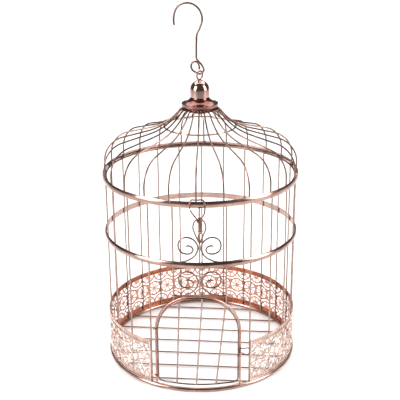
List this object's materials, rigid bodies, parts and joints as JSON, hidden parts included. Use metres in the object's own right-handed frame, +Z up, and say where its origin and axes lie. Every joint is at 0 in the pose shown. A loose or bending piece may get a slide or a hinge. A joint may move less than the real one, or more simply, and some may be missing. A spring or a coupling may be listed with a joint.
{
  "type": "birdcage card box",
  "caption": "Round rose gold wire birdcage card holder with a hinged ogee dome lid, hanging hook, arched door and pierced filigree strip",
  "frame": {"origin": "centre of the base ring's underside, on the surface the cage stands on", "axes": "+Z up; the door and clip face -Y; the lid hinge is at +Y"},
  "size_m": [0.23, 0.2425, 0.4231],
  "materials": {
    "rose_metal": "satin rose gold plating on steel wire",
    "filigree_metal": "pressed openwork strip, rose gold, bright raised edges",
    "cap_metal": "polished rose gold",
    "clip_metal": "polished rose gold"
  },
  "bodies": {
    "cage": {"base_ring": "rose_metal", "floor_wires": "rose_metal", "cage_wires": "rose_metal", "front_wires": "rose_metal", "middle_band": "rose_metal", "rim_ring": "rose_metal", "filigree_band": "filigree_metal", "door_jamb": "rose_metal", "upper_scroll_left": "rose_metal", "upper_scroll_right": "rose_metal", "lower_scroll_left": "rose_metal", "lower_scroll_right": "rose_metal", "keeper_loop": "rose_metal", "lid_hinge_bracket": "rose_metal", "lid_hinge_pin": "rose_metal"},
    "lid": {"lid_hoop": "rose_metal", "dome_wires": "rose_metal", "neck_ring": "rose_metal", "crown_disc": "cap_metal", "cap_skirt": "cap_metal", "cap_bell": "cap_metal", "cap_nut": "cap_metal", "cap_eye_bolt": "cap_metal", "lid_hinge_loops": "rose_metal"},
    "door": {"door_frame": "rose_metal", "door_bars": "rose_metal", "door_hinge_loops": "rose_metal", "door_latch_staple": "rose_metal"},
    "door_latch": {"door_latch_hook": "rose_metal"},
    "hook": {"hanging_hook": "rose_metal"},
    "clip": {"clip_claw": "clip_metal", "clip_barrel": "clip_metal", "clip_trigger_pin": "clip_metal"},
    "clip_gate": {"clip_trigger": "clip_metal"},
    "clip_swivel": {"clip_swivel_eye": "clip_metal"}
  },
  "joints": [
    {"name": "lid_hinge", "type": "hinge", "parent": "cage", "child": "lid", "pos_m": [0, 0.1174, 0.2252], "axis": [-1, 0, 0], "range_deg": [0, 110]},
    {"name": "door_hinge", "type": "hinge", "parent": "cage", "child": "door", "pos_m": [-0.05044, -0.09989, 0.045], "axis": [0, 0, -1], "range_deg": [0, 110]},
    {"name": "door_latch_pivot", "type": "hinge", "parent": "door", "child": "door_latch", "pos_m": [0.04421, -0.10638, 0.0485], "axis": [0, 0, -1], "range_deg": [0, 90]},
    {"name": "hook_swing", "type": "hinge", "parent": "lid", "child": "hook", "pos_m": [0, 0, 0.34364], "axis": [0.9659, -0.2588, 0], "range_deg": [-60, 60]},
    {"name": "clip_swing", "type": "hinge", "parent": "lid", "child": "clip", "pos_m": [0, -0.1101, 0.232], "axis": [-1, 0, 0], "range_deg": [0, 75]},
    {"name": "clip_trigger_pivot", "type": "hinge", "parent": "clip", "child": "clip_gate", "pos_m": [-0.0006, -0.1182, 0.2129], "axis": [0, 1, 0], "range_deg": [0, 25], "stiffness_Nm_per_rad": 0.002},
    {"name": "clip_swivel_turn", "type": "hinge", "parent": "clip", "child": "clip_swivel", "pos_m": [0.001, -0.1182, 0.199], "axis": [0, 0, 1], "continuous": true}
  ]
}
